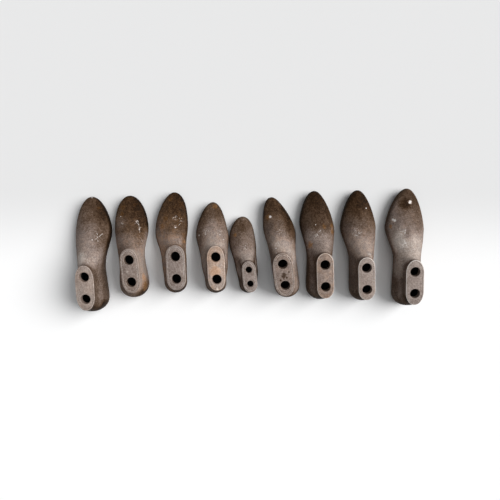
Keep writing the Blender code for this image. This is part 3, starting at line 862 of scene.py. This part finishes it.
def cast_skin(number):
    """The aged cast surface of one last."""
    look = LOOKS[number]
    material, tree, shader = new_material(f"cast_skin_{number}")
    local = own_frame(tree, number)
    broad, patchy, speckle, fine = clouds(tree, local, number)
    grain = group(tree, "casting_grain", local)
    tone = shift(tree, cast_tone(tree, local, look, number, broad), (patchy, 0.045), (speckle, 0.07),
                 (fine, 0.12), (grain["Pits"], -0.10))
    # Soft patches: partly real tone, partly painted light and shade on the sides.
    for *shade, lighter in look.shades:
        tone = shift(tree, tone, (mark(tree, local, *metres(shade), 0.9), lighter))
    stained = shift(tree, patchy, (speckle, 0.8), (broad, 0.5))
    rust = spread(tree, stained, -0.8, 0.8, 0.3 * look.rust, 1.7 * look.rust)
    rust = shift(tree, rust, (spread(tree, tone, 0.45, 0.25), 0.12))
    for spot in look.spots:
        spot = mark(tree, local, *metres(spot), 2.6)
        rust = maths(tree, "MAXIMUM", rust, times(tree, spot, 0.9))
        tone = shift(tree, tone, (spot, 0.04))
    bare = bare_marks(tree, local, look)
    tone = between(tree, times(tree, bare, 0.9), tone, 1.0)
    rust = between(tree, bare, rust, 0.0)
    colour = group(tree, "patina", tone, rust)["Color"]
    dulled = spread(tree, shift(tree, rust, (fine, 0.5)), -0.2, 1.0, 0.50, 0.72)
    bump = add(tree, "Bump", {"Height": grain["Height"], "Strength": 0.5, "Distance": 0.0006}).outputs[0]
    plug(tree, shader, {"Base Color": colour, "Metallic": spread(tree, tone, 0.35, 0.70, 0.0, 0.12),
                        "Roughness": dulled, "Specular IOR Level": DULL, "Normal": bump})
    return material


skins = {number: cast_skin(number) for number in ROW}
print(len(skins), "cast skins; the first has", len(skins[1].node_tree.nodes), "nodes")

# %% [markdown]
# ## The machined faces
# The plates and the rims were milled flat and have dulled since. Fine tool lines run along them,
# and stains lie between the holes on some. The broken edges of a plate and the rim are brighter,
# partly from wear where everything that touches them rubs first and partly as a painted highlight.
# One function makes all four finishes, and only the tone differs.

# %% Build the machined finish
Face = namedtuple("Face", "tone rim ring rust pits spots shades stains", defaults=((), (), ()))
# rim and ring: how much lighter the rim and the broken edges are, for wear and a painted highlight.
FACES = {
    1: Face(0.585, 0.06, 0.04, 0.12, 0.3),
    2: Face(0.490, 0.12, 0.28, 0.08, 0.3, [], [((-1.5, 57, 78), 4.5, 0.14)]),
    3: Face(0.500, 0.10, 0.24, 0.02, 0.3),
    # Last 4: the first patch is a painted glint at the rear end of the plate, the second a real warm spot.
    4: Face(0.625, 0.10, 0.04, 0.35, 0.1, [((2.1, 47.1, 73.5), 20)], [((6.7, 7.5, 70.7), 4, 0.25),
            ((2.1, 47.1, 73.5), 20, 0.06)]),
    5: Face(0.500, 0.12, 0.28, 0.02, 0.3),
    6: Face(0.495, 0.16, 0.30, 0.16, 1.0, [], [], [((-8.5, 47, 77.4), 7), ((-8, 53, 78.6), 4.5),
            ((-16.5, 40, 75.2), 3), ((3.3, 55.5, 79.3), 3), ((-2, 44, 76.8), 3)]),
    7: Face(0.520, 0.28, 0.15, 0.28, 0.2),
    8: Face(0.565, 0.26, 0.15, 0.10, 0.2),
    9: Face(0.550, 0.30, 0.15, 0.04, 0.2),
}
GREASY = 0.20       # specular level of the handled faces


def machined(number, name, lighter):
    """The dulled machined surface of one last, lighter by lighter: on the edges for wear and a painted
    highlight.
    """
    face = FACES[number]
    material, tree, shader = new_material(f"{name}_{number}")
    local = own_frame(tree, number)
    broad, patchy, speckle, fine = clouds(tree, local, number + 20)
    stretched = add(tree, "Mapping", {"Vector": local, "Scale": (1.0, 0.04, 1.0)}).outputs[0]
    lines = noise(tree, stretched, 1400.0, 3.0)
    grain = group(tree, "casting_grain", local)
    tone = shift(tree, face.tone + lighter, (patchy, 0.05), (speckle, 0.07), (fine, 0.11),
                 (maths(tree, "SUBTRACT", lines, 0.5), 0.10))
    # Patches: real pale and warm spots, and on last 4 a painted glint.
    for *shade, change in face.shades:
        tone = shift(tree, tone, (mark(tree, local, *metres(shade), 1.2), change))
    dirt = times(tree, grain["Pits"], face.pits)
    for stain in face.stains:
        stain = mark(tree, local, *metres(stain), 3.0)
        dirt = maths(tree, "MAXIMUM", dirt, times(tree, stain, 0.95))
    tone = between(tree, dirt, tone, 0.22)
    rust = spread(tree, shift(tree, broad, (patchy, 0.6)), -0.6, 0.6, 0.4 * face.rust, 1.6 * face.rust)
    for spot in face.spots:
        spot = mark(tree, local, *metres(spot), 1.2)
        rust = maths(tree, "MAXIMUM", rust, times(tree, spot, 0.85))
    colour = group(tree, "patina", tone, rust)["Color"]
    dulled = spread(tree, shift(tree, dirt, (fine, 0.5)), -0.25, 1.0, 0.48, 0.75)
    height = shift(tree, times(tree, lines, 0.5), (grain["Height"], 0.4))
    bump = add(tree, "Bump", {"Height": height, "Strength": 0.35, "Distance": 0.0003}).outputs[0]
    plug(tree, shader, {"Base Color": colour, "Metallic": between(tree, dirt, 0.20, 0.06),
                        "Roughness": dulled, "Specular IOR Level": GREASY, "Normal": bump})
    return material


finishes = {}
for number, face in FACES.items():
    # The rim and edge finishes are lighter, partly for wear and partly as a painted highlight.
    wear_and_highlight = (("machined_face", 0.0), ("worn_highlit_rim", face.rim), ("worn_highlit_ring", face.ring),
              ("drilled_bore", -0.08))
    finishes[number] = [machined(number, name, lighter) for name, lighter in wear_and_highlight]
print("machined finishes:", [material.name for material in finishes[1]])

# %% [markdown]
# ## The inside
# The inside of a casting is raw and coloured nearly black as painted shade, and hardly any light
# gets in, so the holes look black.

# %% Build the inner finish
black_inside_shade, tree, shader = new_material("painted_shade_inside")
place = add(tree, "TexCoord").outputs["Object"]
mottle = group(tree, "cloud", place, 240.0, 2.0, 0.3, 0.7)["Mask"]
# Near-black colour: painted shade in the hollow.
black = blend(tree, mottle, (0.004, 0.003, 0.003, 1.0), (0.010, 0.008, 0.007, 1.0))
raw = group(tree, "casting_grain", place)["Height"]
bump = add(tree, "Bump", {"Height": raw, "Strength": 0.6, "Distance": 0.0008}).outputs[0]
plug(tree, shader, {"Base Color": black, "Roughness": spread(tree, mottle, 0.0, 1.0, 0.8, 0.95),
                    "Normal": bump})
print("the inside has", len(tree.nodes), "nodes")

# %% [markdown]
# ## Dressing
# Each band of faces got a number when it was pulled. The materials go into the slots in the same
# order: skin, rubbed rim with its painted highlight, flat rim, the lip round the plate and the inside
# in painted black shade; for a plate the face, its broken edges with their painted highlight, and
# its bores.

# %% Dress the pieces
for number, (face, rim, ring, bore) in finishes.items():
    for material in (skins[number], rim, face, ring, black_inside_shade):
        castings[number].data.materials.append(material)
    for material in (face, ring, bore):
        plates[number].data.materials.append(material)
print("every casting has", len(castings[1].data.materials), "finishes")

# %% [markdown]
# ## The floor
# The row stands on a white sheet that fades to a light grey behind it. A stronger lamp would make
# a pale floor white, but it would spoil the metal. So the sheet is a plain grey to the light that
# bounces off it, and it is lifted to white only for the camera and in reflections. It keeps its
# shadows.

# %% The floor
WHITE_AT, GREY_AT = -0.070, 0.150       # the sheet fades between these places, in metres
FLOOR_HALF = 4.0                        # half of the sheet's side
BELOW = 0.0004                          # how far the sheet lies under the soles
bm = bmesh.new()
bmesh.ops.create_grid(bm, x_segments=1, y_segments=1, size=FLOOR_HALF)
floor = add_mesh("white_sheet", bm)
floor.location.z = -BELOW


def shown_as(tree, lit, shown, mix):
    """One value to the light that bounces, and another to the camera and in reflections."""
    rays = add(tree, "LightPath").outputs
    seen = most(tree, [rays["Is Camera Ray"], rays["Is Glossy Ray"], rays["Is Transmission Ray"]])
    return mix(tree, seen, lit, shown)


material, tree, shader = new_material("white_sheet")
behind = add(tree, "SeparateXYZ", {0: add(tree, "TexCoord").outputs["Object"]}).outputs["Y"]
sheet = blend(tree, spread(tree, behind, WHITE_AT, GREY_AT), (1.0, 1.0, 1.0, 1.0), (0.80, 0.80, 0.80, 1.0))
plug(tree, shader, {"Base Color": shown_as(tree, (0.40, 0.40, 0.40, 1.0), sheet, blend),
                    "Roughness": 0.9, "Specular IOR Level": 0.0})
floor.data.materials.append(material)
print("the sheet is", 2 * FLOOR_HALF, "m wide")

# %% [markdown]
# ## The light
# Most of the light comes from a wide window on the right, half way up and a little behind, so the
# shadows are soft and lie to the left. A weaker one from nearly overhead lightens the plates. A
# lamp that stands close would make the right end of the row too bright, and a sun lamp with a
# large angle lights it evenly. The world adds a weak cool fill, and like the sheet it is white to
# the camera and in reflections.

# %% The lamps and the fill
FILL = 0.14         # strength of the world as a light


def hang_lamp(name, height, sideways, angle, strength):
    """A sun lamp: degrees of its direction and its size, and how much white it lends the floor."""
    lamp_data = bpy.data.lights.new(name, "SUN")
    lamp_data.angle = radians(angle)
    lamp_data.energy = strength * pi / sin(radians(height))
    lamp = add_object(name, lamp_data)
    upwards = Vector((cos(radians(height)), 0.0, sin(radians(height))))
    towards = Matrix.Rotation(radians(sideways), 3, "Z") @ upwards
    lamp.location = towards * 3.0
    lamp.rotation_euler = (-towards).to_track_quat("-Z", "Y").to_euler()
    print(f"{name}: {height:.0f} degrees up, strength {lamp_data.energy:.2f}")


hang_lamp("window", 43.0, 12.0, 46.0, 0.73)
hang_lamp("ceiling", 84.0, 0.0, 50.0, 0.15)
world = bpy.data.worlds.new("studio")
bpy.context.scene.world = world
world.use_nodes = True
tree = world.node_tree
plug(tree, tree.nodes["Background"], {"Color": (0.96, 0.98, 1.0, 1.0),
                                      "Strength": shown_as(tree, FILL, 1.0, between)})
bpy.context.scene.view_settings.view_transform = "Standard"

# %% [markdown]
# ## The camera
# The picture is taken straight down. Lasts near its edges show their sides, because the camera
# hangs only a little over a metre above the floor.

# %% Hang the camera
camera_data = bpy.data.cameras.new("camera")
camera_data.sensor_width = 36.0
camera_data.lens = 35.784
camera = add_object("camera", camera_data)
camera.location = (0.00105, -0.00096, 1.183)
bpy.context.scene.camera = camera
print(f"the camera hangs {camera.location.z:.3f} m above the floor")
